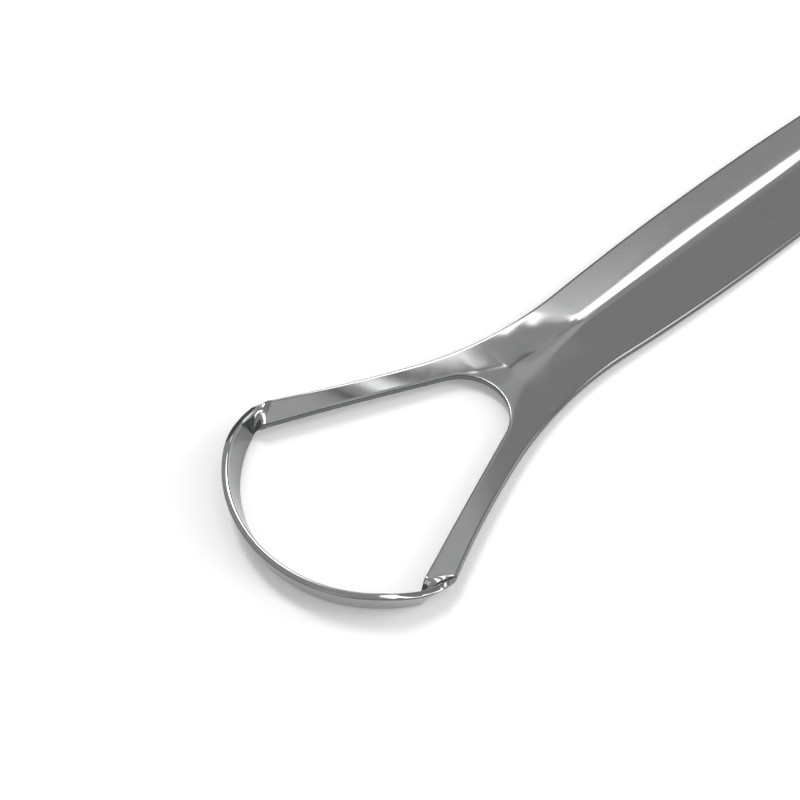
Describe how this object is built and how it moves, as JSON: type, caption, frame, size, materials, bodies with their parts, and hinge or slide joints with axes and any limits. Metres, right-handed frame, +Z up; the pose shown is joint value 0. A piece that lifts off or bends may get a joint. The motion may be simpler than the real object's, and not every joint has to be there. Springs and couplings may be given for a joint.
{
  "type": "tongue scraper",
  "caption": "Y-shaped polished steel tongue scraper: leaning band blade round an open head, twisted shoulders, flat arms and a roof-ridged handle.",
  "frame": {"origin": "centre of the outline, on the table that the tool rests on", "axes": "+X runs from the tip of the blade to the end of the handle, +Z up out of the table, and the part is the same on both sides of y = 0"},
  "size_m": [0.15, 0.0434, 0.0054],
  "materials": {
    "polished_stainless_steel": "stainless sheet, pressed and tumbled to a mirror polish"
  },
  "bodies": {
    "root": {"blade": "polished_stainless_steel", "left_shoulder": "polished_stainless_steel", "right_shoulder": "polished_stainless_steel", "left_arm": "polished_stainless_steel", "right_arm": "polished_stainless_steel", "yoke": "polished_stainless_steel", "handle": "polished_stainless_steel"}
  },
  "joints": []
}
